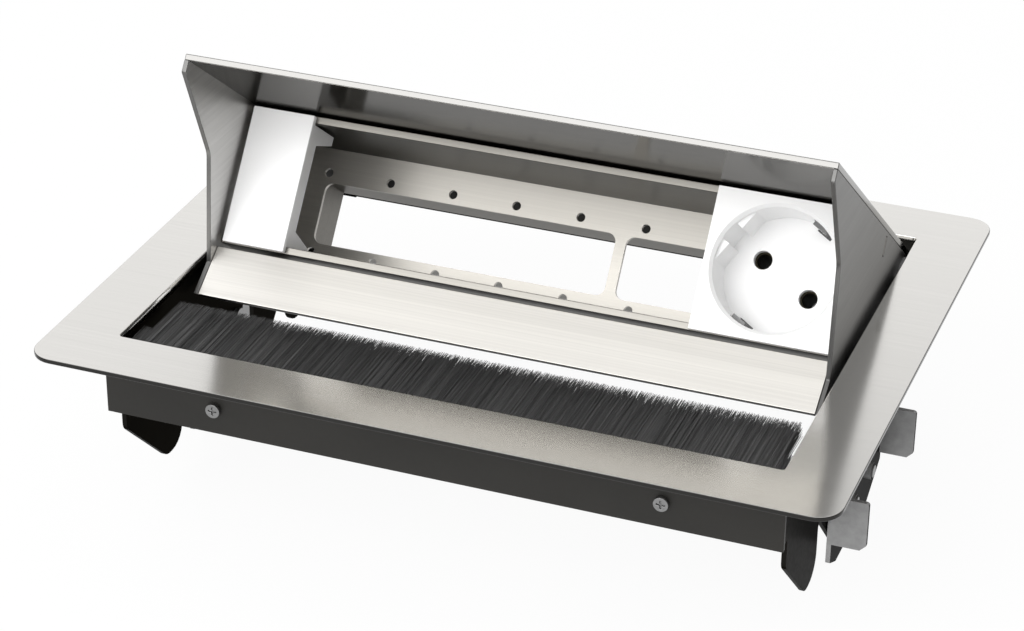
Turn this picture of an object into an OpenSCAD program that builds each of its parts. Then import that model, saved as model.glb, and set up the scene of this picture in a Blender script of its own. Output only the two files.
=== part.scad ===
// Desk socket box: a bezel set flush in a desk top, with a lid that tilts open and carries a bay for
// 45 mm socket modules. X runs along the long side, Y to the back, Z up. Z = 0 is the desk surface,
// which the bezel's underside rests on, and X = Y = 0 is the middle of the bezel.
// The lid and all that it carries are drawn closed and then turned open about the pivot.

/* [Bezel] */
// Width of the bezel, along the long side
bezel_w = 252; // [236:1:300]
// Depth of the bezel, front to back
bezel_d = 196; // [190:1:230]
// Thickness of the bezel plate
bezel_t = 1.5; // [1.2:0.1:3]
// Radius of the bezel's outer corners
bezel_corner_r = 8; // [3:0.5:14]
// Width of the opening in the bezel
opening_w = 210; // [204:1:216]
// Depth of the opening in the bezel
opening_d = 154; // [150:1:158]
// Radius of the opening's corners
opening_corner_r = 1; // [1:0.5:4]

/* [Box under the desk] */
// Thickness of the folded steel sheet of the box
sheet_t = 1.5; // [1:0.1:2]
// How far the outer faces of the box's ends lie outside the opening
end_set = 2.5; // [2.4:0.1:4]
// How far the outer faces of the front and rear skirts lie outside the opening
skirt_set = 5.5; // [5:0.1:7]
// How far the skirts hang below the desk surface
skirt_h = 22.5; // [21:0.5:26]
// How far the legs of the side plates hang below the desk surface
leg_h = 56.3; // [50:0.5:64]
// Width of each leg, front to back
leg_w = 36.5; // [30:0.5:40]
// How far the middle lobe of the side plates hangs below the desk surface
lobe_h = 60; // [58:0.5:66]
// Height of the welded collar under the bezel
collar_h = 2; // [1.5:0.1:3]

/* [Lid] */
// Length of the lid, front to back
lid_l = 134.7; // [130:0.1:138]
// Thickness of the lid plate
lid_t = 2; // [1.5:0.1:2.6]
// Gap between the lid and the opening at each end
lid_gap_x = 2; // [1:0.1:4]
// Gap between the closed lid and the opening's rear edge
lid_gap_y = 2; // [1.8:0.1:3]
// Thickness of the end plates under the lid
cheek_t = 1.5; // [1:0.1:2]
// Angle through which the lid tilts open
open_angle = 37; // [30:1:40]
// Distance of the pivot from the opening's rear edge
pivot_back = 10.6; // [10:0.1:12]
// Distance of the pivot below the top of the closed lid
pivot_drop = 10; // [9.5:0.1:12]
// Height of the end plates' front edge below the lid's top
cheek_nose_h = 5.9; // [4:0.1:8]

/* [Module bay] */
// Side of a full module's face
module_size = 45; // [45:0.5:46]
// Distance of the module faces behind the lid's front edge
face_set = 52.4; // [48:0.2:56]
// Distance of the module faces below the lid's top
face_top = 3; // [3:0.1:4]
// Thickness of a module's face plate
face_t = 2.4; // [1.8:0.1:3]
// Clear height between the lips of the two rails
rail_gap = 41; // [40:0.1:41.2]
// Thickness of the rails' sheet
rail_t = 1.5; // [1:0.1:1.5]
// Depth of the bay from the module faces to the back plate
bay_depth = 50; // [48:0.5:52]
// Height of the windows in the back plate
window_h = 21; // [16:0.5:22]
// Radius of the holes in the back plate
fixing_hole_r = 1.5; // [1:0.1:2]
// Length of the wire duct behind the back plate
duct_l = 16; // [10:0.5:18]
// Length of the lower front panel, from its top edge to its foot
apron_l = 18.2; // [14:0.2:19]

/* [Socket] */
// Radius of the plug recess
recess_r = 19.4; // [19.2:0.05:19.5]
// Depth of the plug recess
recess_depth = 17.5; // [16:0.5:18]
// Distance between the two pin holes
pin_pitch = 19; // [18.5:0.5:19.5]
// Radius of the pin holes in the recess floor
pin_hole_r = 3; // [2.7:0.1:3.1]
// Bore radius of the contact sleeves, for 4.8 mm pins
sleeve_bore_r = 2.45; // [2.4:0.05:2.6]
// Turn of the pin line from level, downwards to the right
pin_turn = 30; // [0:5:45]
// Depth of the whole socket module behind its face
socket_depth = 40; // [36:0.5:42]

/* [Brush] */
// Length of the bristles in front of their holder
bristle_l = 32.2; // [25:0.2:36]
// Thickness of the row of bristles
bristle_bed_h = 5; // [3:0.5:6]
// Height of the middle of the row of bristles, below the desk surface
bristle_drop = 4.5; // [4.5:0.1:5]
// Number of bristles in one layer
bristle_columns = 104; // [100:1:120]
// Number of layers of bristles
bristle_rows = 3; // [3:1:4]
// Distance of each skirt screw from the middle
brush_screw_x = 71; // [50:1:85]

/* [Clamps] */
// Desk thickness at which the clamps stand as drawn
desk_t = 35.5; // [32:0.5:38]
// Height of the clamp wings
wing_h = 17; // [12:0.5:18]
// Reach of the clamp wings outside the box's ends
wing_reach = 12.6; // [9:0.1:14]
// Width of the clamp bracket, front to back
bracket_w = 59.6; // [56:0.2:64]
// Distance of the two clamp screws from each other
clamp_screw_pitch = 20; // [18:0.5:22]
// Width of the slots in the side plates
slot_w = 8; // [7:0.1:9]
// How far a clamp can rise towards the desk
clamp_rise = 16; // [10:0.5:16]
// How far a clamp can drop for a thicker desk
clamp_drop = 4; // [2:0.5:4]

/* [Hidden] */
$fn = 48;

// Small clearances
run_gap = 0.05;
slide_gap = 0.3;
seat_gap = 0.3;
cut = 0.2;

// Colours
brushed = [0.76, 0.75, 0.73];
steel_dark = [0.22, 0.21, 0.2];
steel_black = [0.09, 0.09, 0.09];
steel_mid = [0.52, 0.52, 0.51];
plated = [0.7, 0.7, 0.7];
white = [0.93, 0.93, 0.93];
bristle_black = [0.06, 0.06, 0.07];
rubber_black = [0.08, 0.08, 0.08];
brass = [0.72, 0.6, 0.32];

// Planes of the box
open_x = opening_w / 2;
open_y = opening_d / 2;
end_out = open_x + end_set;
skirt_out = open_y + skirt_set;
skirt_in = skirt_out - sheet_t;
side_out = end_out - 0.8;
side_in = side_out - sheet_t;
collar_margin = 0.5;
rebate = 0.2;
wall_top = -collar_h;

// The legs, the lobe and the clamps are laid out evenly about this line
lobe_mid = 1.5;
leg_front = lobe_mid - 77;
leg_chamfer = 9;
leg_tip_w = 11.5;
notch_h = 37;
lobe_half_w = 21.5;
lobe_foot_half_w = 18.5;
tab_w = 10;
tab_h = 8;

// Planes and places of the lid, drawn closed
lid_x = open_x - lid_gap_x;
cheek_in = lid_x - cheek_t;
lid_front = open_y - lid_gap_y - lid_l;
pivot_y = open_y - pivot_back;
pivot_z = bezel_t - pivot_drop;
face_y = lid_front + face_set;
face_z = bezel_t - face_top - module_size / 2;
back_y = face_y + bay_depth;
rail_in = rail_gap / 2;
rail_lip = 0.8;
rail_lip_l = 4;
channel_in = rail_in + rail_lip;
rail_out = channel_in + rail_t;
bay_gap = 0.25;
bay_x = cheek_in - bay_gap;
half_module = module_size / 2;

// The lower front panel and the outline of the end plates, as distance behind the lid's front edge and
// depth below the lid's top
apron_t = 1.5;
apron_lean = 20.2;
apron_gap = 1.9;
apron_top = [face_set + 0.7, face_top + module_size + apron_gap];
apron_dir = [-sin(apron_lean), cos(apron_lean)];
apron_in = [cos(apron_lean), sin(apron_lean)];
apron_foot = apron_top + apron_l * apron_dir;
apron_flange = 12;
nose_slope = 30.2;
shin_slope = 58.3;
knee = [31.5, cheek_nose_h + 31.5 * tan(nose_slope)];
shin_dir = [cos(shin_slope), sin(shin_slope)];
shin_l = ((apron_top - knee) * apron_in) / (shin_dir * apron_in);
shin_foot = knee + shin_l * shin_dir;
cheek_rear_foot = [face_set + bay_depth + 3.1, face_top + module_size + 2];
pivot_s = pivot_y - lid_front;
lug_r = 8.1;
cheek_rear_top = [pivot_s - lug_r, pivot_drop + lug_r + 2];

// Pivot hardware
pin_r = 3;
pin_head_r = 5;
pin_head_t = 1.5;
bush_r = 4;
bush_flange_r = 6;
bush_flange_t = 0.8;
clip_t = 0.8;
washer_r = 7;

// Tabs of the rails in the end plates
tab_depth = 37.2;
tab_t = 1.5;
rail_tab_h = 6;
rail_tab_slot_gap = 0.25;

// Clamp parts
bracket_in = side_out + slide_gap;
bracket_t = 1.5;
bracket_out = bracket_in + bracket_t;
bracket_foot = 7.5;
bracket_bridge = 8;
bracket_bridge_drop = 8;
bracket_below_screws = 14.5;
clamp_screw_drop = 13;
clamp_screw_z = -desk_t - clamp_screw_drop;
bush_boss_r = 2.75;
bush_boss_l = 2.4;
thread_r = 2;
clamp_head_r = 5.2;
clamp_head_t = 1.5;
hex_r = 1.8;
hex_depth = 1.2;

// Brush parts
holder_wall = 0.8;
holder_leg = 1.5;
bed_back = -skirt_in + holder_leg;
bed_front = bed_back + 3.5;
bed_x = side_in - 1.2;
bed_low = -bristle_drop - bristle_bed_h / 2;
bed_top = -bristle_drop + bristle_bed_h / 2;
bristle_w = 0.8;
bristle_tip_w = 0.5;
bristle_short_l = lid_front - bed_front - 3;
brush_screw_z = wall_top - 12;
screw_head_r = 2.3;
screw_head_t = 1.6;
recess_l = 1.4;
recess_w = 0.3;
recess_d = 0.8;
screw_r = 1.5;

// Stops
pad_x = 85;
pad_w = 14;
pad_h = 5.5;
pad_stem_r = 2;
pad_lap = 2;
stem_head_t = 1.2;
stem_head_set = 1;
buffer_r = 3;
drive_slot_w = 0.7;

// Socket parts
socket_x = bay_x - half_module;
blank_gap = 1;
blank_w = half_module - blank_gap;
blank_x = -(bay_x - blank_gap - blank_w / 2);
floor_t = 2.5;
body_half_h = rail_in - 0.2;
base_half_h = 19;
guide_rise = 2.4;
guide_set = 3;
guide_groove_w = 6.2;
guide_bite = 0.6;
base_inset = 1.2;
base_gap = 0.1;
sleeve_wall = 0.8;
sleeve_l = 16;
sleeve_gap = 0.4;
strap_gap = 0.2;
strap_t = 0.8;
strap_w = 4.6;
strap_r = 19.2;

function lid_point(p) = [lid_front + p[0], bezel_t - p[1]];

// The points of an arc that rounds the corner b between a and c
function corner_arc(a, b, c, r, steps) =
    let (u = (a - b) / norm(a - b), v = (c - b) / norm(c - b))
    let (half = acos(u * v) / 2, reach = r / tan(half))
    let (p = b + reach * u, q = b + reach * v)
    let (middle = b + (r / sin(half)) * (u + v) / norm(u + v))
    let (from = atan2(p[1] - middle[1], p[0] - middle[0]))
    let (to = atan2(q[1] - middle[1], q[0] - middle[0]))
    let (turn = to - from > 180 ? to - from - 360 : to - from < -180 ? to - from + 360 : to - from)
    [for (i = [0:steps]) middle + r * [cos(from + turn * i / steps), sin(from + turn * i / steps)]];

// An outline whose corners are [x, y, radius]
function rounded(points, steps = 6) = [
    for (i = [0:len(points) - 1])
        let (b = points[i], a = points[(i + len(points) - 1) % len(points)])
        let (c = points[(i + 1) % len(points)])
        each b[2] <= 0 ? [[b[0], b[1]]]
            : corner_arc([a[0], a[1]], [b[0], b[1]], [c[0], c[1]], b[2], steps)
];

function rectangle(w, d, r) = rounded([
    [w / 2, d / 2, r], [-w / 2, d / 2, r], [-w / 2, -d / 2, r], [w / 2, -d / 2, r]
], 8);

// A (Y, Z) outline drawn out along X
module along_x(x0, x1) {
    translate([x0, 0, 0]) rotate([90, 0, 90]) linear_extrude(height = x1 - x0) children();
}

module rod_x(x0, x1, r) {
    translate([x0, 0, 0]) rotate([0, 90, 0]) cylinder(h = x1 - x0, r = r);
}

module rod_y(y0, y1, r) {
    translate([0, y0, 0]) rotate([-90, 0, 0]) cylinder(h = y1 - y0, r = r);
}

module block(x0, x1, y0, y1, z0, z1) {
    translate([x0, y0, z0]) cube([x1 - x0, y1 - y0, z1 - z0]);
}

// Pieces of the right end, or mirrored to the left end
module on_side(side) {
    if (side > 0) children();
    else mirror([1, 0, 0]) children();
}

module both_sides() {
    children();
    mirror([1, 0, 0]) children();
}

// The closed lid turned open
module opened() {
    translate([0, pivot_y, pivot_z]) rotate([-open_angle, 0, 0]) translate([0, -pivot_y, -pivot_z])
        children();
}

// The middle of a module's face, with Y into the box and Z up along the face
module at_face(x) {
    translate([x, face_y, face_z]) children();
}

// Bezel plate with its opening and the collar that the box is welded to
module bezel_frame() {
    collar_x = end_out + collar_margin;
    collar_y = skirt_out + collar_margin;
    color(brushed) difference() {
        union() {
            linear_extrude(height = bezel_t) polygon(rectangle(bezel_w, bezel_d, bezel_corner_r));
            block(-collar_x, collar_x, -collar_y, collar_y, wall_top, bezel_t / 2);
        }
        translate([0, 0, wall_top - 1]) linear_extrude(height = collar_h + bezel_t + 2)
            polygon(rectangle(opening_w, opening_d, opening_corner_r));
        block(-end_out + sheet_t, end_out - sheet_t, -skirt_in, skirt_in, wall_top - 1, rebate);
    }
}

// Front wall of the box
module front_skirt() {
    color(steel_dark) difference() {
        block(-end_out, end_out, -skirt_out, -skirt_in, -skirt_h, wall_top);
        for (x = [-brush_screw_x, brush_screw_x])
            translate([x, 0, brush_screw_z]) rod_y(-skirt_out - 1, -skirt_in + 1, screw_r + run_gap);
    }
}

// Rear wall of the box, with the holes of the stop pads
module rear_skirt() {
    color(steel_dark) difference() {
        block(-end_out, end_out, skirt_in, skirt_out, -skirt_h, wall_top);
        for (x = [-pad_x, pad_x])
            translate([x, 0, pad_stem_z]) rod_y(skirt_in - 1, skirt_out + 1, pad_stem_r + run_gap);
    }
}

// Half of a side plate's lower edge, from its skirt corner to the foot of the lobe, as distance
// before the line that the plate is even about
function side_half_edge() =
    let (front = lobe_mid - leg_front, back = front - leg_w)
    [
        [front, skirt_h, 0],
        [front, leg_h - leg_w + leg_tip_w + 1, 4],
        [back + leg_tip_w, leg_h, 6],
        [back, leg_h, 7.5],
        [back, notch_h, 1.5],
        [lobe_half_w, notch_h + back - lobe_half_w, 0],
        [lobe_foot_half_w, lobe_h, 2]
    ];

function side_outline() =
    let (half = side_half_edge())
    concat(
        [[-skirt_in, wall_top, 0], [-skirt_in, -skirt_h, 0]],
        [for (p = half) [lobe_mid - p[0], -p[1], p[2]]],
        [for (i = [len(half) - 1:-1:0]) [lobe_mid + half[i][0], -half[i][1], half[i][2]]],
        [[skirt_in, -skirt_h, 0], [skirt_in, wall_top, 0]]
    );

function clamp_screw_ys() = [lobe_mid - clamp_screw_pitch / 2, lobe_mid + clamp_screw_pitch / 2];

// The upright slot that a clamp screw runs in
module clamp_slot(y) {
    low = clamp_screw_z - clamp_drop;
    high = clamp_screw_z + clamp_rise;
    block(side_in - 1, side_out + 1, y - slot_w / 2, y + slot_w / 2, low, high);
    for (z = [low, high]) translate([0, y, z]) rod_x(side_in - 1, side_out + 1, slot_w / 2);
}

// End wall of the box, with two legs, the clamp lobe and the lid's pivot hole
module side_plate(side) {
    color(steel_black) on_side(side) {
        difference() {
            along_x(side_in, side_out) polygon(rounded(side_outline()));
            for (y = clamp_screw_ys()) clamp_slot(y);
            translate([0, pivot_y, pivot_z]) rod_x(side_in - 1, side_out + 1, pin_r + run_gap);
            translate([0, buffer_at[0], buffer_at[1]])
                rod_x(side_in - 1, side_out + 1, pad_stem_r + run_gap);
            translate([0, earth_y, earth_z]) rod_x(side_in - 1, side_out + 1, screw_r + run_gap);
        }
        for (y = [-skirt_in, skirt_in - sheet_t])
            block(side_in - tab_w, side_in + cut, y, y + sheet_t, -skirt_h + 0.5, -skirt_h + tab_h);
    }
}

// Channel that grips the bristles, with a leg down the front skirt
module brush_holder() {
    leg_x = side_in - tab_w - 1;
    color(steel_mid) difference() {
        union() {
            block(-bed_x, bed_x, -skirt_in, bed_back, bed_low - holder_wall, bed_top + holder_wall);
            block(-leg_x, leg_x, -skirt_in, bed_back, -skirt_h + 1, bed_low);
            for (z = [bed_low - holder_wall, bed_top])
                block(-bed_x, bed_x, bed_back - cut, bed_front - 0.4, z, z + holder_wall);
        }
        for (x = [-brush_screw_x, brush_screw_x])
            translate([x, 0, brush_screw_z]) rod_y(-skirt_in - 1, bed_back + 1, screw_r + run_gap);
    }
}

// Bristles on a slice of their backing, as one closed surface. The front of the backing is a grid of
// cells, and one four-sided bristle stands in each.
module brush_bristles() {
    columns = bristle_columns;
    rows = bristle_rows;
    cell_w = 2 * bed_x / columns;
    cell_h = bristle_bed_h / rows;
    grid_n = (columns + 1) * (rows + 1);
    function grid_index(i, j) = i + j * (columns + 1);
    function foot_index(i, j, k) = grid_n + 8 * (i + j * columns) + k;
    function tip_index(i, j, k) = foot_index(i, j, k) + 4;
    function middle_x(i, j) = -bed_x + cell_w * (i + 0.5) + (j - (rows - 1) / 2) * cell_w * 0.28;
    function bristle_length(i, j) =
        abs(middle_x(i, j)) > cheek_in - 1.2 ? bristle_short_l
            : bristle_l - 1.6 * abs(sin(97 * i + 61 * j));
    function square_ring(i, j, w, y) =
        let (x = middle_x(i, j), z = bed_low + cell_h * (j + 0.5))
        [for (c = [[-1, -1], [1, -1], [1, 1], [-1, 1]]) [x + c[0] * w / 2, y, z + c[1] * w / 2]];
    grid = [
        for (j = [0:rows]) for (i = [0:columns])
            [-bed_x + cell_w * i, bed_front, bed_low + cell_h * j]
    ];
    strands = [
        for (j = [0:rows - 1]) for (i = [0:columns - 1])
            each concat(
                square_ring(i, j, bristle_w, bed_front),
                square_ring(i, j, bristle_tip_w, bed_front + bristle_length(i, j))
            )
    ];
    back = [for (c = [[-1, bed_low], [1, bed_low], [1, bed_top], [-1, bed_top]])
        [c[0] * bed_x, bed_back, c[1]]];
    back_n = grid_n + 8 * columns * rows;
    cell_faces = [
        for (j = [0:rows - 1]) for (i = [0:columns - 1])
            let (corner = [grid_index(i, j), grid_index(i + 1, j),
                grid_index(i + 1, j + 1), grid_index(i, j + 1)])
            for (k = [0:3])
                let (n = (k + 1) % 4)
                each [
                    [corner[n], corner[k], foot_index(i, j, k), foot_index(i, j, n)],
                    [foot_index(i, j, n), foot_index(i, j, k), tip_index(i, j, k), tip_index(i, j, n)]
                ]
    ];
    tip_faces = [
        for (j = [0:rows - 1]) for (i = [0:columns - 1])
            [for (k = [3:-1:0]) tip_index(i, j, k)]
    ];
    low_edge = [for (i = [0:columns]) grid_index(i, 0)];
    top_edge = [for (i = [columns:-1:0]) grid_index(i, rows)];
    right_edge = [for (j = [0:rows]) grid_index(columns, j)];
    left_edge = [for (j = [rows:-1:0]) grid_index(0, j)];
    sides = [
        concat([back_n + 1, back_n], low_edge),
        concat([back_n + 2, back_n + 1], right_edge),
        concat([back_n + 3, back_n + 2], top_edge),
        concat([back_n, back_n + 3], left_edge),
        [back_n, back_n + 1, back_n + 2, back_n + 3]
    ];
    color(bristle_black)
        polyhedron(points = concat(grid, strands, back), faces = concat(cell_faces, tip_faces, sides));
}

// Pan head screws through the front skirt into the brush holder
module brush_screws() {
    color(plated) for (x = [-brush_screw_x, brush_screw_x]) translate([x, 0, brush_screw_z])
        difference() {
            union() {
                rod_y(-skirt_out - screw_head_t, -skirt_out, screw_head_r);
                rod_y(-skirt_out - cut, bed_back + 2.5, screw_r);
            }
            for (a = [0, 90]) rotate([0, a, 0]) block(
                -recess_l, recess_l, -skirt_out - screw_head_t - 1, -skirt_out - screw_head_t + recess_d,
                -recess_w, recess_w
            );
        }
}

// Earth screws on the inner faces of the side plates
earth_y = lobe_mid + 1;
earth_z = -32;
earth_head_r = 2.75;
earth_head_t = 1.6;
module earth_screws() {
    slot_half_l = earth_head_r - 1;
    color(plated) both_sides() translate([0, earth_y, earth_z]) difference() {
        union() {
            rod_x(side_in - earth_head_t, side_in, earth_head_r);
            rod_x(side_in - cut, side_out, screw_r);
        }
        block(side_in - earth_head_t - 1, side_in - earth_head_t / 2,
            -slot_half_l, slot_half_l, -drive_slot_w / 2, drive_slot_w / 2);
    }
}

// Shouldered pins that the lid turns on
module pivot_pins() {
    color(plated) both_sides() translate([0, pivot_y, pivot_z]) {
        rod_x(side_out, side_out + pin_head_t, pin_head_r);
        rod_x(clip_in - 0.6, side_out + cut, pin_r);
    }
}

// Washers that press on the end plates and hold the lid where it is put
module friction_washers() {
    color(steel_mid) both_sides() translate([0, pivot_y, pivot_z]) difference() {
        rod_x(lid_x, side_in, washer_r);
        rod_x(lid_x - 1, side_in + 1, pin_r + run_gap);
    }
}

clip_in = cheek_in - bush_flange_t - 0.1 - clip_t;

// Retaining clips on the inner ends of the pins
module pivot_clips() {
    color(plated) both_sides() translate([0, pivot_y, pivot_z]) difference() {
        rod_x(clip_in, clip_in + clip_t, pin_head_r);
        rod_x(clip_in - 1, clip_in + clip_t + 1, pin_r + run_gap);
    }
}

// Rubber pads on the rear skirt, which the open lid's rear edge rests on
function turned(p, a) =
    let (q = [p[0] - pivot_y, p[1] - pivot_z])
    [pivot_y + q[0] * cos(a) - q[1] * sin(a), pivot_z + q[0] * sin(a) + q[1] * cos(a)];
lid_rest_corner = turned(lid_point([lid_l, lid_t]), -open_angle);
pad_top = lid_rest_corner[1] - seat_gap;
pad_stem_z = pad_top - pad_h / 2;
module stop_pads() {
    color(rubber_black) for (x = [-pad_x, pad_x]) {
        block(x - pad_w / 2, x + pad_w / 2, lid_rest_corner[0] - pad_lap, skirt_in, pad_top - pad_h, pad_top);
        translate([x, 0, pad_stem_z]) {
            rod_y(skirt_in - cut, skirt_out, pad_stem_r);
            rod_y(skirt_out, skirt_out + stem_head_t, pad_stem_r + stem_head_set);
        }
    }
}

// Rubber buffers on the side plates, which the end plates come down on when the lid closes
buffer_edge_a = lid_point(cheek_rear_foot);
buffer_edge_b = lid_point(cheek_rear_top);
buffer_dir = (buffer_edge_b - buffer_edge_a) / norm(buffer_edge_b - buffer_edge_a);
buffer_at = (buffer_edge_a + buffer_edge_b) / 2
    + (buffer_r + seat_gap) * [buffer_dir[1], -buffer_dir[0]];
module rest_buffers() {
    color(rubber_black) both_sides() translate([0, buffer_at[0], buffer_at[1]]) {
        rod_x(cheek_in - 1, side_in, buffer_r);
        rod_x(side_in - cut, side_out, pad_stem_r);
        rod_x(side_out, side_out + stem_head_t, pad_stem_r + stem_head_set);
    }
}

// Clamp bracket: a sheet along the side plate with two wings bent out to press up under the desk
module clamp_bracket(side) {
    front = lobe_mid - bracket_w / 2;
    back = lobe_mid + bracket_w / 2;
    wing_top = -desk_t;
    plate_top = wing_top - bracket_bridge_drop;
    foot = clamp_screw_z - bracket_below_screws;
    wing_x = side_out + wing_reach;
    wing_foot = wing_top - wing_h;
    wing_cut = 2;
    color(steel_mid) on_side(side) difference() {
        union() {
            along_x(bracket_in, bracket_out) polygon(rounded([
                [front, wing_top, 0], [front, foot + bracket_foot / 2, 1], [front + bracket_foot, foot, 3],
                [back - 2 * bracket_foot, foot, 3], [back, foot + bracket_foot, 1], [back, wing_top, 0],
                [back - bracket_bridge, wing_top, 1], [back - bracket_bridge, plate_top, 1],
                [front + bracket_bridge, plate_top, 1], [front + bracket_bridge, wing_top, 1]
            ]));
            for (y = [front, back - bracket_t])
                translate([0, y + bracket_t, 0]) rotate([90, 0, 0]) linear_extrude(height = bracket_t)
                    polygon(rounded([
                        [bracket_in, wing_top, 0], [wing_x, wing_top, 1],
                        [wing_x, wing_foot + wing_cut, 0], [wing_x - wing_cut, wing_foot, 0],
                        [bracket_in, wing_foot, 0]
                    ]));
            for (y = clamp_screw_ys()) translate([0, y, clamp_screw_z])
                rod_x(bracket_out - cut, bracket_out + bush_boss_l, bush_boss_r);
        }
        for (y = clamp_screw_ys()) translate([0, y, clamp_screw_z])
            rod_x(bracket_in - 1, bracket_out + bush_boss_l + 1, thread_r);
    }
}

// Clamp screws: a flat head inside, a shoulder in the slot and a thread in the bracket
module clamp_screws(side) {
    color(plated) on_side(side) for (y = clamp_screw_ys()) translate([0, y, clamp_screw_z])
        difference() {
            union() {
                rod_x(side_in - clamp_head_t, side_in, clamp_head_r);
                rod_x(side_in - cut, bracket_in, slot_w / 2 - 0.2);
                rod_x(bracket_in - cut, bracket_out + bush_boss_l + 0.4, thread_r - run_gap);
            }
            rotate([0, 90, 0]) translate([0, 0, side_in - clamp_head_t - 1])
                cylinder(h = 1 + hex_depth, r = hex_r, $fn = 6);
        }
}

// Lid plate
module lid_panel() {
    color(brushed) opened()
        block(-lid_x, lid_x, lid_front, lid_front + lid_l, bezel_t - lid_t, bezel_t);
}

function cheek_outline() = [
    for (p = rounded([
        [0, lid_t, 0], [0, cheek_nose_h, 0.8], [knee[0], knee[1], 7],
        [shin_foot[0], shin_foot[1], 0], [apron_foot[0], apron_foot[1], 0],
        [apron_foot[0] + apron_t, apron_foot[1], 0],
        [apron_foot[0] + 12, apron_foot[1] - 7, 3],
        [cheek_rear_foot[0], cheek_rear_foot[1], 3],
        [cheek_rear_top[0], cheek_rear_top[1], 4],
        [pivot_s, pivot_drop + lug_r, 2], [pivot_s + lug_r, pivot_drop + lug_r / 2, 4],
        [pivot_s + lug_r, lid_t, 0]
    ])) lid_point(p)
];

// Slots for the rails' tabs, on either side of the bay's middle
module rail_tab_slots() {
    for (v = [0, 1]) at_face(0) mirror([0, 0, v])
        block(
            cheek_in - 1, lid_x + 1,
            tab_depth - tab_t / 2 - rail_tab_slot_gap, tab_depth + tab_t / 2 + rail_tab_slot_gap,
            rail_out - 1 - rail_tab_h - rail_tab_slot_gap, rail_out - 1 + rail_tab_slot_gap
        );
}

// Plate at each end of the lid, which carries the bay and turns on the pivot
module end_plate(side) {
    color(steel_mid) on_side(side) opened() difference() {
        along_x(cheek_in, lid_x) polygon(cheek_outline());
        rail_tab_slots();
        translate([0, pivot_y, pivot_z]) rod_x(cheek_in - 1, lid_x + 1, bush_r);
    }
}

// Flanged bushes in the end plates, running on the pivot pins
module pivot_bushes() {
    color(white) both_sides() translate([0, pivot_y, pivot_z]) difference() {
        union() {
            rod_x(cheek_in - bush_flange_t, cheek_in, bush_flange_r);
            rod_x(cheek_in - cut, lid_x, bush_r);
        }
        rod_x(cheek_in - bush_flange_t - 1, lid_x + 1, pin_r + run_gap);
    }
}

// Sloping panel below the modules, with a flange above
module apron_panel() {
    color(brushed) opened() along_x(-cheek_in, cheek_in) polygon([
        for (p = [
            apron_top, apron_foot, apron_foot + apron_t * apron_in,
            apron_top + apron_t * [1.2, 1], apron_top + [apron_flange, apron_t],
            apron_top + [apron_flange, 0]
        ]) lid_point(p)
    ]);
}

// One rail of the bay: a wall along the modules, a lip that they snap behind and a tab at each end
module rail(up) {
    rail_x = cheek_in - 0.1;
    color(brushed) opened() at_face(0) mirror([0, 0, up > 0 ? 0 : 1]) {
        block(-rail_x, rail_x, face_t, bay_depth + rail_t, channel_in, rail_out);
        block(-rail_x, rail_x, face_t, face_t + rail_lip_l, rail_in, channel_in + cut);
        both_sides() block(
            rail_x - 1, lid_x, tab_depth - tab_t / 2, tab_depth + tab_t / 2,
            rail_out - 1 - rail_tab_h, rail_out - 1
        );
    }
}

// Back plate of the bay, with two windows and two rows of fixing holes on the half-module pitch
window_low = -11.3;
window_high = window_low + window_h;
window_x = cheek_in - 11.4;
window_bar_x = 15.1;
window_bar_w = 3.6;
window_corner_r = 3;
hole_rows = [window_low - 3.1, window_high + 3.3];
hole_first = floor((cheek_in - 5) / half_module);
module cassette_back_plate() {
    plate_x = cheek_in - 0.1;
    bar_left = window_bar_x - window_bar_w / 2;
    bar_right = window_bar_x + window_bar_w / 2;
    color(brushed) opened() at_face(0) difference() {
        block(-plate_x, plate_x, bay_depth, bay_depth + rail_t, -channel_in, channel_in);
        for (w = [[-window_x, bar_left], [bar_right, window_x]])
            translate([0, bay_depth + rail_t + 1, 0]) rotate([90, 0, 0])
                linear_extrude(height = rail_t + 2) polygon(rounded([
                    for (c = [[w[0], window_low], [w[1], window_low], [w[1], window_high], [w[0], window_high]])
                        [c[0], c[1], window_corner_r]
                ]));
        for (k = [-hole_first:hole_first]) for (v = hole_rows)
            translate([k * half_module, 0, v])
                rod_y(bay_depth - 1, bay_depth + rail_t + 1, fixing_hole_r);
    }
}

// Duct behind the back plate, around its windows, which keeps the wires off the hinge
duct_t = 1;
module wire_duct() {
    duct_front = bay_depth + rail_t;
    color(brushed) opened() at_face(0) difference() {
        block(-window_x - duct_t, window_x + duct_t, duct_front, duct_front + duct_l,
            window_low - duct_t, window_high + duct_t);
        block(-window_x, window_x, duct_front - 1, duct_front + duct_l + 1, window_low, window_high);
    }
}

// Half-width blanking plate with a short body and two snap lugs
blank_depth = 9;
blank_lug_depth = 22;
blank_lug_w = 6;
blank_lug_h = 3;
module blank_plate() {
    w = blank_w / 2 - 0.1;
    body_x = w - 0.8;
    lug_foot = blank_depth - cut;
    color(white) opened() at_face(blank_x) {
        block(-w, w, 0, face_t, -half_module, half_module);
        block(-body_x, body_x, face_t - cut, blank_depth, -body_half_h, body_half_h);
        for (v = [0, 1]) mirror([0, 0, v]) along_x(body_x - blank_lug_w, body_x) polygon([
            [lug_foot, body_half_h - 2 * blank_lug_h], [blank_lug_depth, body_half_h - blank_lug_h],
            [blank_lug_depth, body_half_h], [lug_foot, body_half_h]
        ]);
    }
}

// A place on the pin line, or across it, in the face of the socket
module on_pin_line(r, across = 0) {
    rotate([0, pin_turn - across, 0]) translate([r, 0, 0]) children();
}

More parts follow.
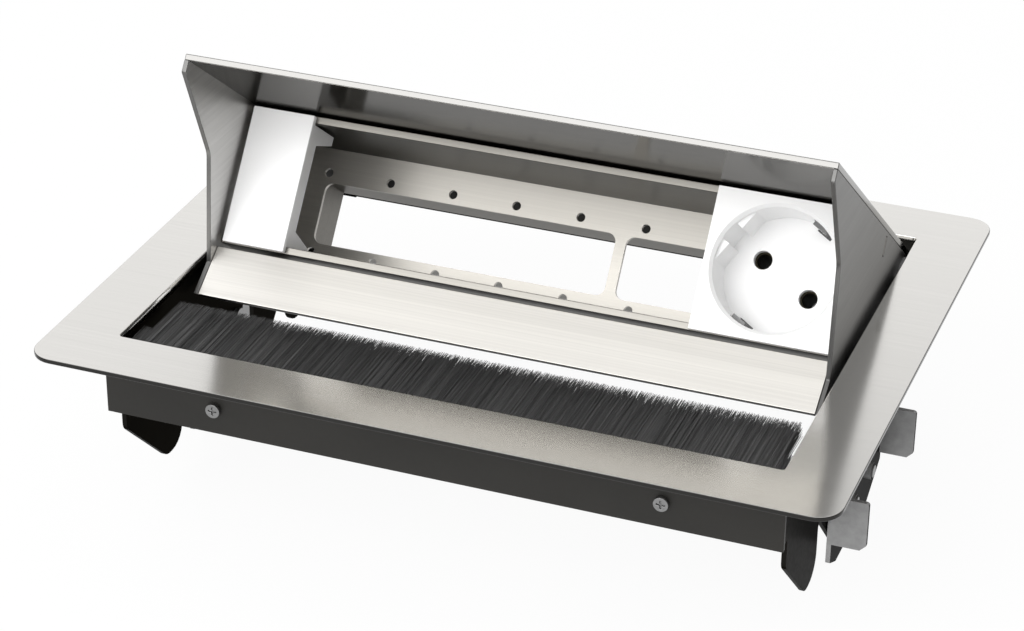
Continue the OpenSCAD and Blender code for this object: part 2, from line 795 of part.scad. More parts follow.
// Socket cover: face, plug recess with a guide groove between two ridges at each side, pin holes and slots
// for the earth contacts
module socket_cover() {
    w = half_module - 0.1;
    floor_back = recess_depth + floor_t;
    guide_half_w = sqrt(pow(recess_r, 2) - pow(recess_r - guide_rise, 2)) + guide_bite;
    color(white) opened() at_face(socket_x) {
        difference() {
            union() {
                block(-w, w, 0, face_t, -half_module, half_module);
                block(-w + 0.5, w - 0.5, face_t - cut, floor_back, -body_half_h, body_half_h);
            }
            rod_y(-1, recess_depth, recess_r);
            rotate([-90, 0, 0]) translate([0, 0, -cut])
                cylinder(h = 1.4, r1 = recess_r + 1.2, r2 = recess_r - 0.05);
            for (s = [-1, 1]) on_pin_line(s * pin_pitch / 2) rod_y(recess_depth - 1, floor_back + 1, pin_hole_r);
            for (s = [0, 1]) on_pin_line(0, 90) rotate([0, 180 * s, 0])
                block(strap_r - 1.4, strap_r + strap_t + 0.3, 4, floor_back + 1,
                    -strap_w / 2 - 0.3, strap_w / 2 + 0.3);
        }
        for (s = [0, 1]) rotate([0, 180 * s, 0]) on_pin_line(0) difference() {
            block(recess_r - guide_rise, recess_r + guide_bite, guide_set, recess_depth + cut,
                -guide_half_w, guide_half_w);
            block(recess_r - guide_rise - 1, recess_r + 1, guide_set - 1, recess_depth + 1,
                -guide_groove_w / 2, guide_groove_w / 2);
        }
    }
}

// Body behind the cover that holds the contacts and terminals
module socket_base() {
    floor_back = recess_depth + floor_t;
    half_w = half_module - base_inset;
    color([0.8, 0.8, 0.8]) opened() at_face(socket_x) difference() {
        block(-half_w, half_w, floor_back + base_gap, socket_depth, -base_half_h, base_half_h);
        for (s = [-1, 1]) on_pin_line(s * pin_pitch / 2)
            rod_y(floor_back, floor_back + sleeve_gap + sleeve_l, sleeve_bore_r + sleeve_wall + run_gap);
        on_pin_line(0, 90) block(-strap_r - strap_t - strap_gap, strap_r + strap_t + strap_gap,
            floor_back, floor_back + strap_t + strap_gap, -strap_w / 2 - strap_gap, strap_w / 2 + strap_gap);
        for (x = terminal_xs) translate([x, 0, terminal_z]) {
            rod_y(socket_depth - terminal_head_t, socket_depth + 1, terminal_head_r + run_gap);
            rod_y(socket_depth - terminal_l, socket_depth, terminal_r + run_gap);
        }
    }
}

terminal_pitch = 13;
terminal_xs = [-terminal_pitch, 0, terminal_pitch];
terminal_z = -13.5;
terminal_head_r = 2.7;
terminal_head_t = 1.6;
terminal_r = 1.4;
terminal_l = 7;

// Sprung sleeves for the plug's pins
module contact_sleeves() {
    front = recess_depth + floor_t + sleeve_gap;
    color(brass) opened() at_face(socket_x) for (s = [-1, 1]) on_pin_line(s * pin_pitch / 2)
        difference() {
            rod_y(front, front + sleeve_l, sleeve_bore_r + sleeve_wall);
            rod_y(front - 1, front + sleeve_l + 1, sleeve_bore_r);
        }
}

// Earth strap: a bar behind the recess floor with a sprung finger at each end
module earth_strap() {
    front = recess_depth + floor_t;
    color(plated) opened() at_face(socket_x) on_pin_line(0, 90) {
        block(-strap_r - strap_t, strap_r + strap_t, front, front + strap_t, -strap_w / 2, strap_w / 2);
        for (s = [0, 1]) rotate([0, 180 * s, 0]) {
            block(strap_r, strap_r + strap_t, 5, front + cut, -strap_w / 2, strap_w / 2);
            block(strap_r - 1.1, strap_r + cut, 7, 10, -strap_w / 2, strap_w / 2);
        }
    }
}

// Terminal screws in the back of the base
module terminal_screws() {
    color(plated) opened() at_face(socket_x) for (x = terminal_xs) translate([x, 0, terminal_z])
        difference() {
            union() {
                rod_y(socket_depth - terminal_head_t, socket_depth, terminal_head_r);
                rod_y(socket_depth - terminal_l + seat_gap, socket_depth - terminal_head_t + cut, terminal_r);
            }
            block(-terminal_head_r - 1, terminal_head_r + 1, socket_depth - terminal_head_t / 2,
                socket_depth + 1, -drive_slot_w / 2, drive_slot_w / 2);
        }
}

bezel_frame();
front_skirt();
rear_skirt();
side_plate(-1);  // side_plate_left
side_plate(1);  // side_plate_right
brush_holder();
brush_bristles();
brush_screws();
earth_screws();
pivot_pins();
friction_washers();
pivot_clips();
stop_pads();
rest_buffers();
clamp_bracket(-1);  // clamp_bracket_left
clamp_screws(-1);  // clamp_screws_left
clamp_bracket(1);  // clamp_bracket_right
clamp_screws(1);  // clamp_screws_right
lid_panel();
end_plate(-1);  // end_plate_left
end_plate(1);  // end_plate_right
pivot_bushes();
apron_panel();
rail(1);  // cassette_top_rail
rail(-1);  // cassette_bottom_rail
cassette_back_plate();
wire_duct();
blank_plate();
socket_cover();
socket_base();
contact_sleeves();
earth_strap();
terminal_screws();
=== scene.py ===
import math

import bpy
import numpy
from mathutils import Matrix, Vector


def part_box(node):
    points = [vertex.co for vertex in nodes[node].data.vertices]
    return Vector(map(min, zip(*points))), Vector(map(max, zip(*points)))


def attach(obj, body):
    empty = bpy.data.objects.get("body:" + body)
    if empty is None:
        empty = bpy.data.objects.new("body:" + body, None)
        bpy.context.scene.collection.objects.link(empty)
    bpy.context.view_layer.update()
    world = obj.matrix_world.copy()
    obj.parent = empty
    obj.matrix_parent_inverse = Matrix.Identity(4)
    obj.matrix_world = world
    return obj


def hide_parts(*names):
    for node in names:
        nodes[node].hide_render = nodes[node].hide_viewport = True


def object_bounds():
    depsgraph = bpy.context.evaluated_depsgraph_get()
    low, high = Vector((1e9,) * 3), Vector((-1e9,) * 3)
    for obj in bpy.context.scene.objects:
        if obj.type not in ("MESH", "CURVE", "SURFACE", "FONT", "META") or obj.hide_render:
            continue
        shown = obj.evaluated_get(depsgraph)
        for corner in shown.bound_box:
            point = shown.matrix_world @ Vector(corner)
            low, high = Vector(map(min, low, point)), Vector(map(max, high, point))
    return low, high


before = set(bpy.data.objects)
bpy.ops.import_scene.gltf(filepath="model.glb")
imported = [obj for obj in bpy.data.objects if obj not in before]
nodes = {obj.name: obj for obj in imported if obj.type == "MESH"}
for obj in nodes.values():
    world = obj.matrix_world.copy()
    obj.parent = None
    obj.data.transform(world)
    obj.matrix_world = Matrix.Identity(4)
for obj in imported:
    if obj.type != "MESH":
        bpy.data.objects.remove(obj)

cad_low, cad_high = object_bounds()

# Named lengths are in millimetres, and named angles in degrees where nothing else is said. Blender
# takes metres and radians.
MM = 0.001

# Camera, fitted to the corners of the bezel, the opening and the socket's face
IMAGE_W = 1024
FOCAL_PX = 2919.13
SENSOR_W = 36.0
CAMERA_PLACE = (279.37, -760.04, 434.38)
CAMERA_AZIMUTH = 20.61
CAMERA_ELEVATION = 28.729
CAMERA_ROLL = 0.535
CLIP_START = 10.0

# Floor, a little below the lowest part of the box
FLOOR_GAP = 2.0
FLOOR_SIZE = 6000.0
FLOOR_WHITE_SHARE = 0.94

# Key lamp, in front of the box and above it, aimed at the frame's origin
KEY_PLACE = (-350.0, -1350.0, 1050.0)
KEY_SIZE = (1800.0, 1200.0)
KEY_ENERGY = 21.0

# Brightness of the studio room by height, from straight down at 0 to straight up at 1
ROOM_BY_HEIGHT = [
    (0.0, 0.85), (0.70, 1.1), (0.745, 1.0), (0.79, 0.45), (0.86, 0.6), (0.93, 1.0), (1.0, 1.15),
]

# Brightness of the room's front, left and right, and the stretches over which each of them fades in.
# LEFT_TURN is the turn from straight back to the left, in radians. The others are X, Y or Z of a
# direction of length 1.
FRONT_WALL = 1.2
FRONT_FROM = (-0.5, -0.2)
FRONT_RISE = (0.15, 0.4)
LEFT_WALL = 1.0
LEFT_TURN = (0.47, 0.53)
LEFT_RISE = (-0.02, 0.05)
RIGHT_WALL = 0.6
RIGHT_FROM = (0.1, 0.6)

# How far the lid stands open at rest, and how far the panel below the modules leans
LID_ANGLE = 37.0
APRON_LEAN = 20.2

# Directions in the nodes
ALONG_X = (1.0, 0.0, 0.0)
ALONG_Y = (0.0, 1.0, 0.0)
ALONG_Z = (0.0, 0.0, 1.0)
UP_THE_SLOPE = (0.0, 0.45, 0.9)

# Noise scales, in waves per metre along X, Y and Z
GRAIN_ALONG_X = (4.0, 1400.0, 1400.0)
GRAIN_ALONG_Y = (900.0, 30.0, 900.0)
CLAMP_GRAIN = (400.0, 60.0, 400.0)
STEEL_CLOUD = (9.0, 14.0, 14.0)
PAINT_CLOUD = (20.0, 20.0, 40.0)
PAINT_PEEL = (700.0, 700.0, 700.0)
PLATING_MOTTLE = (600.0, 600.0, 600.0)
PLASTIC_TEXTURE = (2500.0, 2500.0, 2500.0)
PLASTIC_CLOUD = (30.0, 30.0, 30.0)
BRISTLE_STREAK = (5000.0, 60.0, 5000.0)
FLOOR_CLOUD = (4.0, 4.0, 4.0)

# A coarser grain lies under the fine one: how coarse, and how much of it there is. A cloud adds this
# share of the roughness's unevenness.
COARSE_SCALE = 0.12
COARSE_SHARE = 0.25
CLOUD_SHARE = 0.6

# Depths of the bump on bare steel, and on paint and plastic
GRAIN_DEPTH = 0.2
PEEL_DEPTH = 0.1

# Cosines between which a surface goes over to facing a direction, and from a sheet's cut edge to its
# face
FACING_FROM = (0.6, 0.85)
EDGE_FROM = (0.75, 0.97)

# Width of the band along the bezel's rim whose cut edges carry a painted shade
RIM_BAND = 8.0

# Rounding of the CAD nodes' sharp edges
EDGE_ROUND = 0.3
EDGE_SEGMENTS = 2
WELD_GAP = 0.002
FLAT_ANGLE = 1.0
SHARP_ANGLE = 35.0

# Brush fibres: rows and columns of strands on a slice of backing
BRUSH_SEED = 7
BRUSH_BACKING = 3.5
FIBRE_COLUMNS = 1100
FIBRE_ROWS = 12
FIBRE_R = 0.1
FIBRE_SIDES = 3
FIBRE_BEND_X = 0.3
FIBRE_BEND_Z = 0.15
FIBRE_UNEVEN = 1.1
UNEVEN_POWER = 1.5

# Rings of a strand: share of its length, and share of its radius there
FIBRE_RINGS = [(0.0, 1.0), (0.6, 0.9), (1.0, 0.45)]

# How far a strand strays sideways, as a share of the spacing
FIBRE_STRAY = 0.4

# Length of the strands where the end plates sweep past, and the clearance beside those plates
SHORT_FIBRE = 13.3
END_CLEAR = 0.5

# CAD nodes whose sharp edges are rounded
ROUNDED_NODES = [
    "bezel_frame", "lid_panel", "apron_panel", "end_plate_left", "end_plate_right",
    "cassette_top_rail", "cassette_bottom_rail", "cassette_back_plate", "front_skirt", "rear_skirt",
    "side_plate_left", "side_plate_right", "clamp_bracket_left", "clamp_bracket_right", "blank_plate",
    "socket_cover", "socket_base", "brush_screws",
]

# Small metal parts that share one plating
PLATED_NODES = [
    "brush_screws", "earth_screws", "pivot_pins", "friction_washers", "pivot_clips",
    "clamp_screws_left", "clamp_screws_right", "terminal_screws",
]


def grey(level, warmth=0.0):
    """A grey as Blender takes it, more yellow the more warmth it has."""
    return (level * (1 + 0.5 * warmth), level, level * (1 - warmth), 1.0)


class Nodes:
    """A short way to write a material's or the world's node tree."""

    def __init__(self, tree):
        self.tree = tree
        tree.nodes.clear()

    def add(self, kind, settings=None, **inputs):
        """Adds a node. i0 and i1 are its inputs by number, and Base_Color is its input Base Color."""
        node = self.tree.nodes.new("ShaderNode" + kind)
        for name, value in (settings or {}).items():
            setattr(node, name, value)
        for name, value in inputs.items():
            numbered = name[0] == "i" and name[1:].isdigit()
            socket = node.inputs[int(name[1:]) if numbered else name.replace("_", " ")]
            if isinstance(value, bpy.types.NodeSocket):
                self.tree.links.new(value, socket)
            else:
                socket.default_value = value
        return node

    def calculate(self, operation, *values):
        inputs = {f"i{index}": value for index, value in enumerate(values)}
        return self.add("Math", {"operation": operation}, **inputs).outputs[0]

    def noise(self, scales, detail=3.0, offset=0.0):
        """Noise through the node's own space. An offset keeps two noises from falling together."""
        place = self.add("TexCoord").outputs["Object"]
        mapped = self.add("Mapping", Vector=place, Scale=scales, Location=(offset, offset, offset))
        node = self.add("TexNoise", Vector=mapped.outputs["Vector"], Scale=1.0, Detail=detail,
                        Roughness=0.6)
        return node.outputs["Fac"]

    def ramp(self, value, stops, warmth=0.0):
        """Greys by value, from stops that are each a place and a level."""
        node = self.add("ValToRGB", Fac=value)
        ramp = node.color_ramp
        while len(ramp.elements) < len(stops):
            ramp.elements.new(0.5)
        for element, (place, level) in zip(ramp.elements, stops):
            element.position = place
            element.color = grey(level, warmth)
        return node.outputs["Color"]

    def to_range(self, value, low, high, from_low=0.0, from_high=1.0):
        """Goes from low to high while the value goes from from_low to from_high."""
        node = self.add("MapRange", Value=value, From_Min=from_low, From_Max=from_high,
                        To_Min=low, To_Max=high)
        return node.outputs["Result"]

    def mix(self, share, first, second):
        """Mixes two colours, which are inputs 6 and 7 and output 2 of the Mix node."""
        return self.add("Mix", {"data_type": "RGBA"}, i0=share, i6=first, i7=second).outputs[2]

    def bump(self, height, strength, depth):
        """The surface's normal over a height, whose depth is in millimetres."""
        return self.add("Bump", Height=height, Strength=strength, Distance=depth * MM).outputs["Normal"]

    def along(self, direction):
        """How far the surface looks along a direction in the node, from -1 to 1."""
        normal = self.add("TexCoord").outputs["Normal"]
        dot = self.add("VectorMath", {"operation": "DOT_PRODUCT"}, i0=normal, i1=tuple(direction))
        return dot.outputs["Value"]

    def facing(self, direction):
        """1 on faces that look along the direction in the node, and 0 on the others."""
        return self.to_range(self.along(direction), 0.0, 1.0, *FACING_FROM)

    def cut_edge(self, face_normal):
        """1 on a sheet's cut edges and 0 on its two faces, whose direction in the node is given."""
        size = self.calculate("ABSOLUTE", self.along(face_normal))
        return self.to_range(size, 1.0, 0.0, *EDGE_FROM)

    def outside(self, half_x, half_y):
        """1 outside a rectangle about the node's origin, seen from above, and 0 inside it."""
        place = self.add("SeparateXYZ", Vector=self.add("TexCoord").outputs["Object"])
        shares = []
        for axis, half in (("X", half_x), ("Y", half_y)):
            size = self.calculate("ABSOLUTE", place.outputs[axis])
            shares.append(self.calculate("GREATER_THAN", size, half))
        return self.calculate("MAXIMUM", *shares)

    def surface(self, shader):
        """Ends a material's tree with its shader."""
        self.add("OutputMaterial", Surface=shader.outputs[0])


def new_material(name):
    material = bpy.data.materials.new(name)
    material.use_nodes = True
    return material, Nodes(material.node_tree)


def brushed_metal(name, light, dark, roughness, grain=GRAIN_ALONG_X, bump=0.06, warmth=0.02,
                  face_normal=None, edge=0.1, edge_outside=None, painted_shade_facing=None, shade=0.1,
                  across=UP_THE_SLOPE, anisotropy=0.6, rim=1.0, painted_shade_rim_facing=None, uneven=0.05,
                  metallic=1.0):
    """Brushed sheet: fine grain in colour, roughness and height, reflections drawn out across the
    grain, a painted shade on the cut edges, and a painted shade on the faces that look along the
    direction given for it. Where edge_outside is given, only the edges outside that rectangle carry
    the painted edge shade. rim dulls the sheen at grazing angles; where a direction is given for it,
    only on the faces that look along that direction, as a painted shade there. uneven is how far the
    roughness varies."""
    material, t = new_material(name)
    fine = t.noise(grain, detail=4.0)
    coarse = t.noise(tuple(g * COARSE_SCALE for g in grain), detail=2.0, offset=3.7)
    cloud = t.noise(STEEL_CLOUD, detail=2.0, offset=1.3)
    mixed = t.calculate("MULTIPLY_ADD", coarse, COARSE_SHARE, fine)
    colour = t.ramp(mixed, [(0.4, dark), (0.85, light)], warmth)
    by_grain = t.to_range(fine, roughness - uneven, roughness + uneven)
    by_cloud = t.to_range(cloud, -CLOUD_SHARE * uneven, CLOUD_SHARE * uneven)
    # Painted shade on the cut edges: they take the edge grey in place of the grain's colour.
    if face_normal is not None:
        share = t.cut_edge(face_normal)
        if edge_outside is not None:
            share = t.calculate("MULTIPLY", share, t.outside(*edge_outside))
        colour = t.mix(share, colour, grey(edge, warmth))
    # Painted shade on the faces that look along the given direction: they take the shade grey.
    if painted_shade_facing is not None:
        colour = t.mix(t.facing(painted_shade_facing), colour, grey(shade, warmth))
    lay = t.add("VectorTransform",
                {"vector_type": "VECTOR", "convert_from": "OBJECT", "convert_to": "WORLD"},
                Vector=across)
    sheen = grey(rim)
    # Painted shade: where a direction is given, only the faces that look along it get the dulled sheen.
    if painted_shade_rim_facing is not None:
        sheen = t.mix(t.facing(painted_shade_rim_facing), grey(1.0), sheen)
    t.surface(t.add("BsdfPrincipled", Base_Color=colour, Metallic=metallic,
                    Roughness=t.calculate("ADD", by_grain, by_cloud), Anisotropic=anisotropy,
                    Specular_Tint=sheen, Normal=t.bump(mixed, bump, GRAIN_DEPTH),
                    Tangent=lay.outputs["Vector"]))
    return material


def plated_metal(name, level, roughness, warmth=0.0):
    """Plated or turned small metal parts, with a faint mottle."""
    material, t = new_material(name)
    mottle = t.noise(PLATING_MOTTLE)
    colour = t.ramp(mottle, [(0.3, level * 0.8), (0.7, level)], warmth)
    t.surface(t.add("BsdfPrincipled", Base_Color=colour, Metallic=1.0,
                    Roughness=t.to_range(mottle, roughness - 0.08, roughness + 0.1)))
    return material


def painted_sheet(name, level, roughness, warmth=0.04, metallic=0.35, rim=1.0):
    """Dark coated steel with a slight orange peel. rim dulls the sheen at grazing angles."""
    material, t = new_material(name)
    peel = t.noise(PAINT_PEEL, detail=2.0)
    cloud = t.noise(PAINT_CLOUD)
    colour = t.ramp(cloud, [(0.3, level * 0.82), (0.75, level * 1.1)], warmth)
    t.surface(t.add("BsdfPrincipled", Base_Color=colour, Metallic=metallic, Specular_Tint=grey(rim),
                    Roughness=t.to_range(peel, roughness - 0.05, roughness + 0.08),
                    Normal=t.bump(peel, 0.12, PEEL_DEPTH)))
    return material


def clamp_sheet(name, wing, plate):
    """Clamp steel, bright on the wings, with a painted shade on the plate, whose faces look along X."""
    material, t = new_material(name)
    grain = t.noise(CLAMP_GRAIN)
    bright = t.ramp(grain, [(0.3, wing * 0.8), (0.7, wing)])
    # Painted shade: the faces that look along X take the plate's near-black grey.
    colour = t.mix(t.cut_edge(ALONG_X), grey(plate), bright)
    t.surface(t.add("BsdfPrincipled", Base_Color=colour, Metallic=0.8, Specular_Tint=grey(0.15),
                    Roughness=t.to_range(grain, 0.36, 0.5), Normal=t.bump(grain, 0.1, GRAIN_DEPTH)))
    return material


def moulded_plastic(name, level, roughness, texture=0.03):
    """Injection moulded plastic with a fine, shallow texture."""
    material, t = new_material(name)
    fine = t.noise(PLASTIC_TEXTURE, detail=2.0)
    cloud = t.noise(PLASTIC_CLOUD, detail=2.0)
    colour = t.ramp(cloud, [(0.2, level * 0.975), (0.8, level)])
    t.surface(t.add("BsdfPrincipled", Base_Color=colour,
                    Roughness=t.to_range(fine, roughness, roughness + 0.06),
                    Normal=t.bump(fine, texture, PEEL_DEPTH)))
    return material


def bristle_fibre(name):
    """Black nylon fibres whose shade varies from strand to strand."""
    material, t = new_material(name)
    streak = t.noise(BRISTLE_STREAK, detail=2.0)
    colour = t.ramp(streak, [(0.35, 0.05), (0.7, 0.067)])
    t.surface(t.add("BsdfPrincipled", Base_Color=colour, Roughness=0.5))
    return material


def make_camera():
    azimuth = math.radians(CAMERA_AZIMUTH)
    elevation = math.radians(CAMERA_ELEVATION)
    roll = math.radians(CAMERA_ROLL)
    level_back = Vector((math.sin(azimuth), -math.cos(azimuth), 0.0))
    back = math.cos(elevation) * level_back + math.sin(elevation) * Vector(ALONG_Z)
    level_right = Vector((math.cos(azimuth), math.sin(azimuth), 0.0))
    level_up = back.cross(level_right)
    right = math.cos(roll) * level_right + math.sin(roll) * level_up
    up = -math.sin(roll) * level_right + math.cos(roll) * level_up
    data = bpy.data.cameras.new("camera")
    data.sensor_width = SENSOR_W
    data.lens = SENSOR_W * FOCAL_PX / IMAGE_W
    data.clip_start = CLIP_START * MM
    camera = bpy.data.objects.new("camera", data)
    turn = Matrix((right, up, back)).transposed().to_4x4()
    camera.matrix_world = Matrix.Translation(Vector(CAMERA_PLACE) * MM) @ turn
    bpy.context.scene.collection.objects.link(camera)
    bpy.context.scene.camera = camera


def make_world():
    """A studio room: a white sweep low down, a greyer wall above it and soft light overhead. The front
    is brighter, the left is white and the right is grey, and the camera sees plain white."""
    world = bpy.data.worlds.new("world")
    world.use_nodes = True
    bpy.context.scene.world = world
    t = Nodes(world.node_tree)
    direction = t.add("SeparateXYZ", Vector=t.add("TexCoord").outputs["Generated"])
    x, y, z = (direction.outputs[axis] for axis in "XYZ")
    room = t.ramp(t.to_range(z, 0.0, 1.0, -1.0, 1.0), ROOM_BY_HEIGHT)
    front = t.to_range(y, 1.0, 0.0, *FRONT_FROM)
    above = t.to_range(z, 0.0, 1.0, *FRONT_RISE)
    room = t.mix(t.calculate("MULTIPLY", front, above), room, grey(FRONT_WALL))
    turn_left = t.calculate("ARCTAN2", t.calculate("MULTIPLY", x, -1.0), y)
    left = t.to_range(turn_left, 0.0, 1.0, *LEFT_TURN)
    above = t.to_range(z, 0.0, 1.0, *LEFT_RISE)
    room = t.mix(t.calculate("MULTIPLY", left, above), room, grey(LEFT_WALL))
    room = t.mix(t.to_range(x, 0.0, 1.0, *RIGHT_FROM), room, grey(RIGHT_WALL))
    room = t.mix(t.add("LightPath").outputs["Is Camera Ray"], room, grey(1.0))
    lit = t.add("Background", Color=room, Strength=1.0)
    t.add("OutputWorld", Surface=lit.outputs[0])


def make_floor():
    z = cad_low.z - FLOOR_GAP * MM
    bpy.ops.mesh.primitive_plane_add(size=FLOOR_SIZE * MM, location=(0, 0, z))
    floor = bpy.context.object
    floor.name = "floor"
    material, t = new_material("floor_white")
    colour = t.ramp(t.noise(FLOOR_CLOUD), [(0.0, 0.86), (1.0, 0.9)])
    matt = t.add("BsdfDiffuse", Color=colour)
    white = t.add("Emission", Color=grey(1.0), Strength=1.0)
    path = t.add("LightPath")
    seen = path.outputs["Is Camera Ray"]
    for kind in ("Is Glossy Ray", "Is Transmission Ray"):
        seen = t.calculate("MAXIMUM", seen, path.outputs[kind])
    share = t.calculate("MULTIPLY", seen, FLOOR_WHITE_SHARE)
    t.surface(t.add("MixShader", i0=share, i1=matt.outputs[0], i2=white.outputs[0]))
    floor.data.materials.append(material)


def make_key_lamp():
    data = bpy.data.lights.new("key", "AREA")
    data.shape = "RECTANGLE"
    data.size = KEY_SIZE[0] * MM
    data.size_y = KEY_SIZE[1] * MM
    data.energy = KEY_ENERGY
    lamp = bpy.data.objects.new("key", data)
    place = Vector(KEY_PLACE) * MM
    turn = (-place).to_track_quat("-Z", "Y").to_matrix().to_4x4()
    lamp.matrix_world = Matrix.Translation(place) @ turn
    bpy.context.scene.collection.objects.link(lamp)


def paint(node_names, material):
    for name in node_names:
        mesh = nodes[name].data
        mesh.materials.clear()
        mesh.materials.append(material)


def soften_edges(name):
    """Rounds the sharp edges of a CAD node with modifiers, so the mesh keeps its own points."""
    obj = nodes[name]
    weld = obj.modifiers.new("weld", "WELD")
    weld.merge_threshold = WELD_GAP * MM
    flatten = obj.modifiers.new("flatten", "DECIMATE")
    flatten.decimate_type = "DISSOLVE"
    flatten.angle_limit = math.radians(FLAT_ANGLE)
    bevel = obj.modifiers.new("bevel", "BEVEL")
    bevel.width = EDGE_ROUND * MM
    bevel.segments = EDGE_SEGMENTS
    bevel.limit_method = "ANGLE"
    bevel.angle_limit = math.radians(SHARP_ANGLE)
    for polygon in obj.data.polygons:
        polygon.use_smooth = True
    smooth = obj.modifiers.new("normals", "WEIGHTED_NORMAL")
    smooth.keep_sharp = True


def lid_direction(forward, up):
    """A direction that is given on the closed lid, turned with the lid as it stands open at rest."""
    turn = math.radians(-LID_ANGLE)
    y = forward * math.cos(turn) - up * math.sin(turn)
    z = forward * math.sin(turn) + up * math.cos(turn)
    return Vector((0.0, y, z))


def dress_bezel():
    # The bezel is the widest piece, so the CAD model's box ends at its rim.
    inside = (cad_high.x - RIM_BAND * MM, cad_high.y - RIM_BAND * MM)
    # Painted shade on the cut edges along the bezel's rim.
    steel = brushed_metal("brushed_bezel", light=0.77, dark=0.73, roughness=0.16, bump=0.006,
                          warmth=0.035, face_normal=ALONG_Z, edge=0.04, edge_outside=inside,
                          across=ALONG_Y, anisotropy=0.2, uneven=0.015)
    paint(["bezel_frame"], steel)


def dress_lid():
    lid_up = lid_direction(0.0, 1.0)
    lean = math.radians(APRON_LEAN)
    apron_face = lid_direction(math.cos(lean), -math.sin(lean))
    # Painted shade on the lid: its cut edges take a dark grey, and its underside's sheen at grazing
    # angles is dulled.
    lid = brushed_metal("brushed_lid", light=0.76, dark=0.72, roughness=0.13, bump=0.004, warmth=0.03,
                        face_normal=lid_up, edge=0.21, anisotropy=0.0, rim=0.2, painted_shade_rim_facing=-lid_up,
                        uneven=0.015)
    # Painted shade on the apron's cut edges.
    apron = brushed_metal("brushed_apron", light=0.78, dark=0.69, roughness=0.34, warmth=0.05,
                          face_normal=apron_face, edge=0.04)
    # The end plates are one steel in two copies: painted light on the left one, and painted shade on the
    # right one, whose grazing sheen is also dulled. Both carry a painted shade on their cut edges.
    left = brushed_metal("brushed_end_painted_light", light=0.6, dark=0.5, roughness=0.36, grain=GRAIN_ALONG_Y,
                         face_normal=ALONG_X, edge=0.15, across=ALONG_Z)
    right = brushed_metal("brushed_end_painted_shade", light=0.3, dark=0.23, roughness=0.36,
                          grain=GRAIN_ALONG_Y, face_normal=ALONG_X, edge=0.15, across=ALONG_Z, rim=0.7)
    paint(["lid_panel"], lid)
    paint(["apron_panel"], apron)
    paint(["end_plate_left"], left)
    paint(["end_plate_right"], right)


def dress_cassette():
    underside = lid_direction(0.0, -1.0)
    # Painted shade on the rail's and the back plate's faces that look down from the open lid.
    rail = brushed_metal("brushed_rail", light=0.27, dark=0.22, roughness=0.36, warmth=0.08,
                         painted_shade_facing=underside, shade=0.12, rim=0.7)
    plate = brushed_metal("brushed_back", light=0.58, dark=0.52, roughness=0.4, warmth=0.08,
                          painted_shade_facing=underside, shade=0.3, metallic=0.6)
    # Painted shade: the duct's dark grey and dulled sheen stand in for the dark room it reflects.
    duct = brushed_metal("brushed_duct_painted_shade", light=0.22, dark=0.17, roughness=0.36, warmth=0.08, rim=0.6)
    paint(["cassette_top_rail", "cassette_bottom_rail"], rail)
    paint(["cassette_back_plate"], plate)
    paint(["wire_duct"], duct)


def dress_box():
    dark = painted_sheet("dark_sheet", level=0.018, roughness=0.5, warmth=0.14)
    black = painted_sheet("black_sheet", level=0.014, roughness=0.35, warmth=0.1, metallic=1.0, rim=0.42)
    # Painted shade on the clamp's plate faces that look along X.
    clamp = clamp_sheet("clamp_steel", wing=0.36, plate=0.03)
    paint(["front_skirt", "rear_skirt", "brush_holder"], dark)
    paint(["side_plate_left", "side_plate_right"], black)
    paint(["clamp_bracket_left", "clamp_bracket_right"], clamp)


def dress_small_metal():
    paint(PLATED_NODES, plated_metal("zinc", level=0.3, roughness=0.38))
    paint(["earth_strap"], plated_metal("contact_steel", level=0.12, roughness=0.3))
    # Painted shade: the contact sleeves deep in the pin holes take a near-black grey.
    paint(["contact_sleeves"], plated_metal("brass", level=0.03, roughness=0.5, warmth=0.3))


def dress_plastic():
    paint(["blank_plate", "socket_cover"], moulded_plastic("white_gloss", level=0.93, roughness=0.26))
    white_back = moulded_plastic("white_satin", level=0.7, roughness=0.5, texture=0.06)
    paint(["socket_base", "pivot_bushes"], white_back)
    rubber = moulded_plastic("rubber_black", level=0.02, roughness=0.7, texture=0.1)
    paint(["stop_pads", "rest_buffers"], rubber)


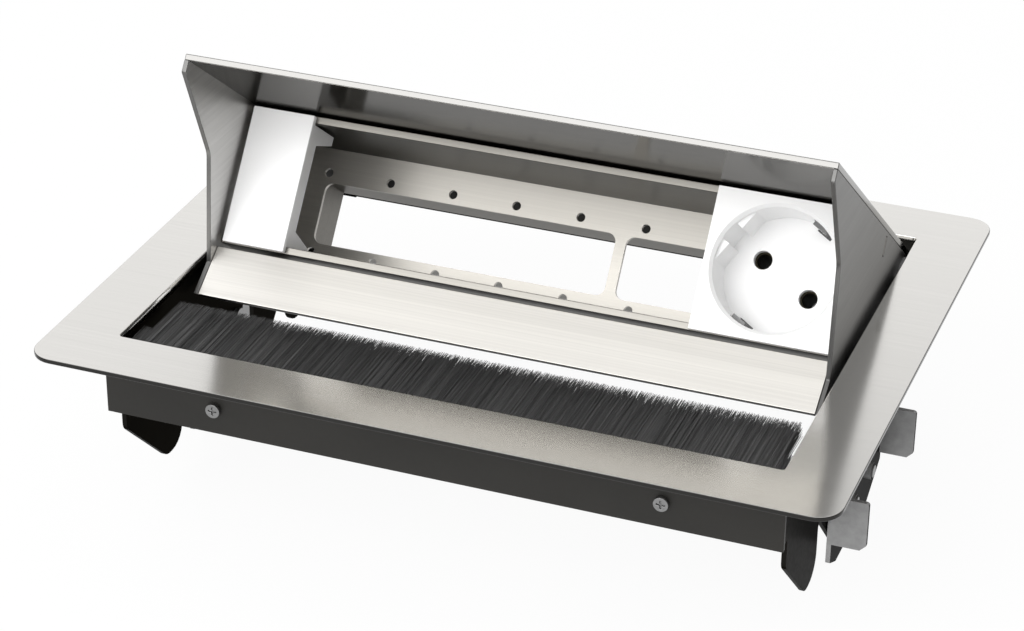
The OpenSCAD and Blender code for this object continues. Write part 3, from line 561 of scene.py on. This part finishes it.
def strand_points(low, high, root_y):
    """The points of all strands, one strand after another and ring by ring along each. The strands are
    thin, tapered and slightly crooked, and their lengths differ."""
    rng = numpy.random.default_rng(BRUSH_SEED)
    margin = FIBRE_R * MM * 2
    x = numpy.linspace(low.x + margin, high.x - margin, FIBRE_COLUMNS)
    z = numpy.linspace(low.z + margin, high.z - margin, FIBRE_ROWS)
    root_x, root_z = (grid.ravel() for grid in numpy.meshgrid(x, z))
    count = root_x.size
    root_x = root_x + rng.uniform(-FIBRE_STRAY, FIBRE_STRAY, count) * (x[1] - x[0])
    root_x = numpy.clip(root_x, low.x + margin, high.x - margin)
    length = high.y - root_y - rng.uniform(0.0, FIBRE_UNEVEN, count) ** UNEVEN_POWER * MM
    beside = numpy.abs(root_x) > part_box("end_plate_right")[0].x - END_CLEAR * MM
    length = numpy.where(beside, SHORT_FIBRE * MM, length)
    bend_x = rng.normal(0.0, FIBRE_BEND_X, count) * MM
    bend_z = rng.normal(0.0, FIBRE_BEND_Z, count) * MM
    turn = rng.uniform(0.0, 2 * math.pi, count)
    points = []
    for share, thickness in FIBRE_RINGS:
        centre_x = root_x + bend_x * share ** 2
        centre_y = root_y + length * share
        centre_z = numpy.clip(root_z + bend_z * share ** 2, low.z + margin, high.z - margin)
        radius = FIBRE_R * MM * thickness
        for side in range(FIBRE_SIDES):
            angle = turn + 2 * math.pi * side / FIBRE_SIDES
            around_x = centre_x + radius * numpy.cos(angle)
            around_z = centre_z + radius * numpy.sin(angle)
            points.append(numpy.stack([around_x, centre_y, around_z], axis=-1))
    return numpy.stack(points, axis=1).reshape(-1, 3)


def strand_faces():
    """The faces of one strand, as numbers of its points: its two ends, and its walls."""
    last = FIBRE_SIDES * len(FIBRE_RINGS) - 1
    faces = [tuple(range(FIBRE_SIDES)), tuple(range(last, last - FIBRE_SIDES, -1))]
    for ring in range(len(FIBRE_RINGS) - 1):
        for side in range(FIBRE_SIDES):
            first = ring * FIBRE_SIDES + side
            second = ring * FIBRE_SIDES + (side + 1) % FIBRE_SIDES
            faces.append((first, first + FIBRE_SIDES, second + FIBRE_SIDES, second))
    return faces


def make_brush():
    """The strip's fibres, on a slice of backing that the holder grips."""
    low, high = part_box("brush_bristles")
    root_y = low.y + BRUSH_BACKING * MM
    points = [tuple(point) for point in strand_points(low, high, root_y)]
    one_strand = strand_faces()
    faces = []
    for first in range(0, len(points), FIBRE_SIDES * len(FIBRE_RINGS)):
        faces.extend(tuple(first + i for i in face) for face in one_strand)
    backing = [(x, y, z) for x in (low.x, high.x) for y in (low.y, root_y) for z in (low.z, high.z)]
    box_faces = [(0, 1, 3, 2), (4, 6, 7, 5), (0, 4, 5, 1), (2, 3, 7, 6), (0, 2, 6, 4), (1, 5, 7, 3)]
    faces.extend(tuple(len(points) + i for i in face) for face in box_faces)
    mesh = bpy.data.meshes.new("brush_fibres")
    mesh.from_pydata(points + backing, [], faces)
    mesh.validate()
    mesh.materials.append(bristle_fibre("bristle_fibre"))
    fibres = bpy.data.objects.new("brush_fibres", mesh)
    bpy.context.scene.collection.objects.link(fibres)
    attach(fibres, "frame")
    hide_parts("brush_bristles")


make_camera()
make_world()
make_floor()
make_key_lamp()
bpy.context.scene.view_settings.view_transform = "Standard"
dress_bezel()
dress_lid()
dress_cassette()
dress_box()
dress_small_metal()
dress_plastic()
for node_name in ROUNDED_NODES:
    soften_edges(node_name)
make_brush()
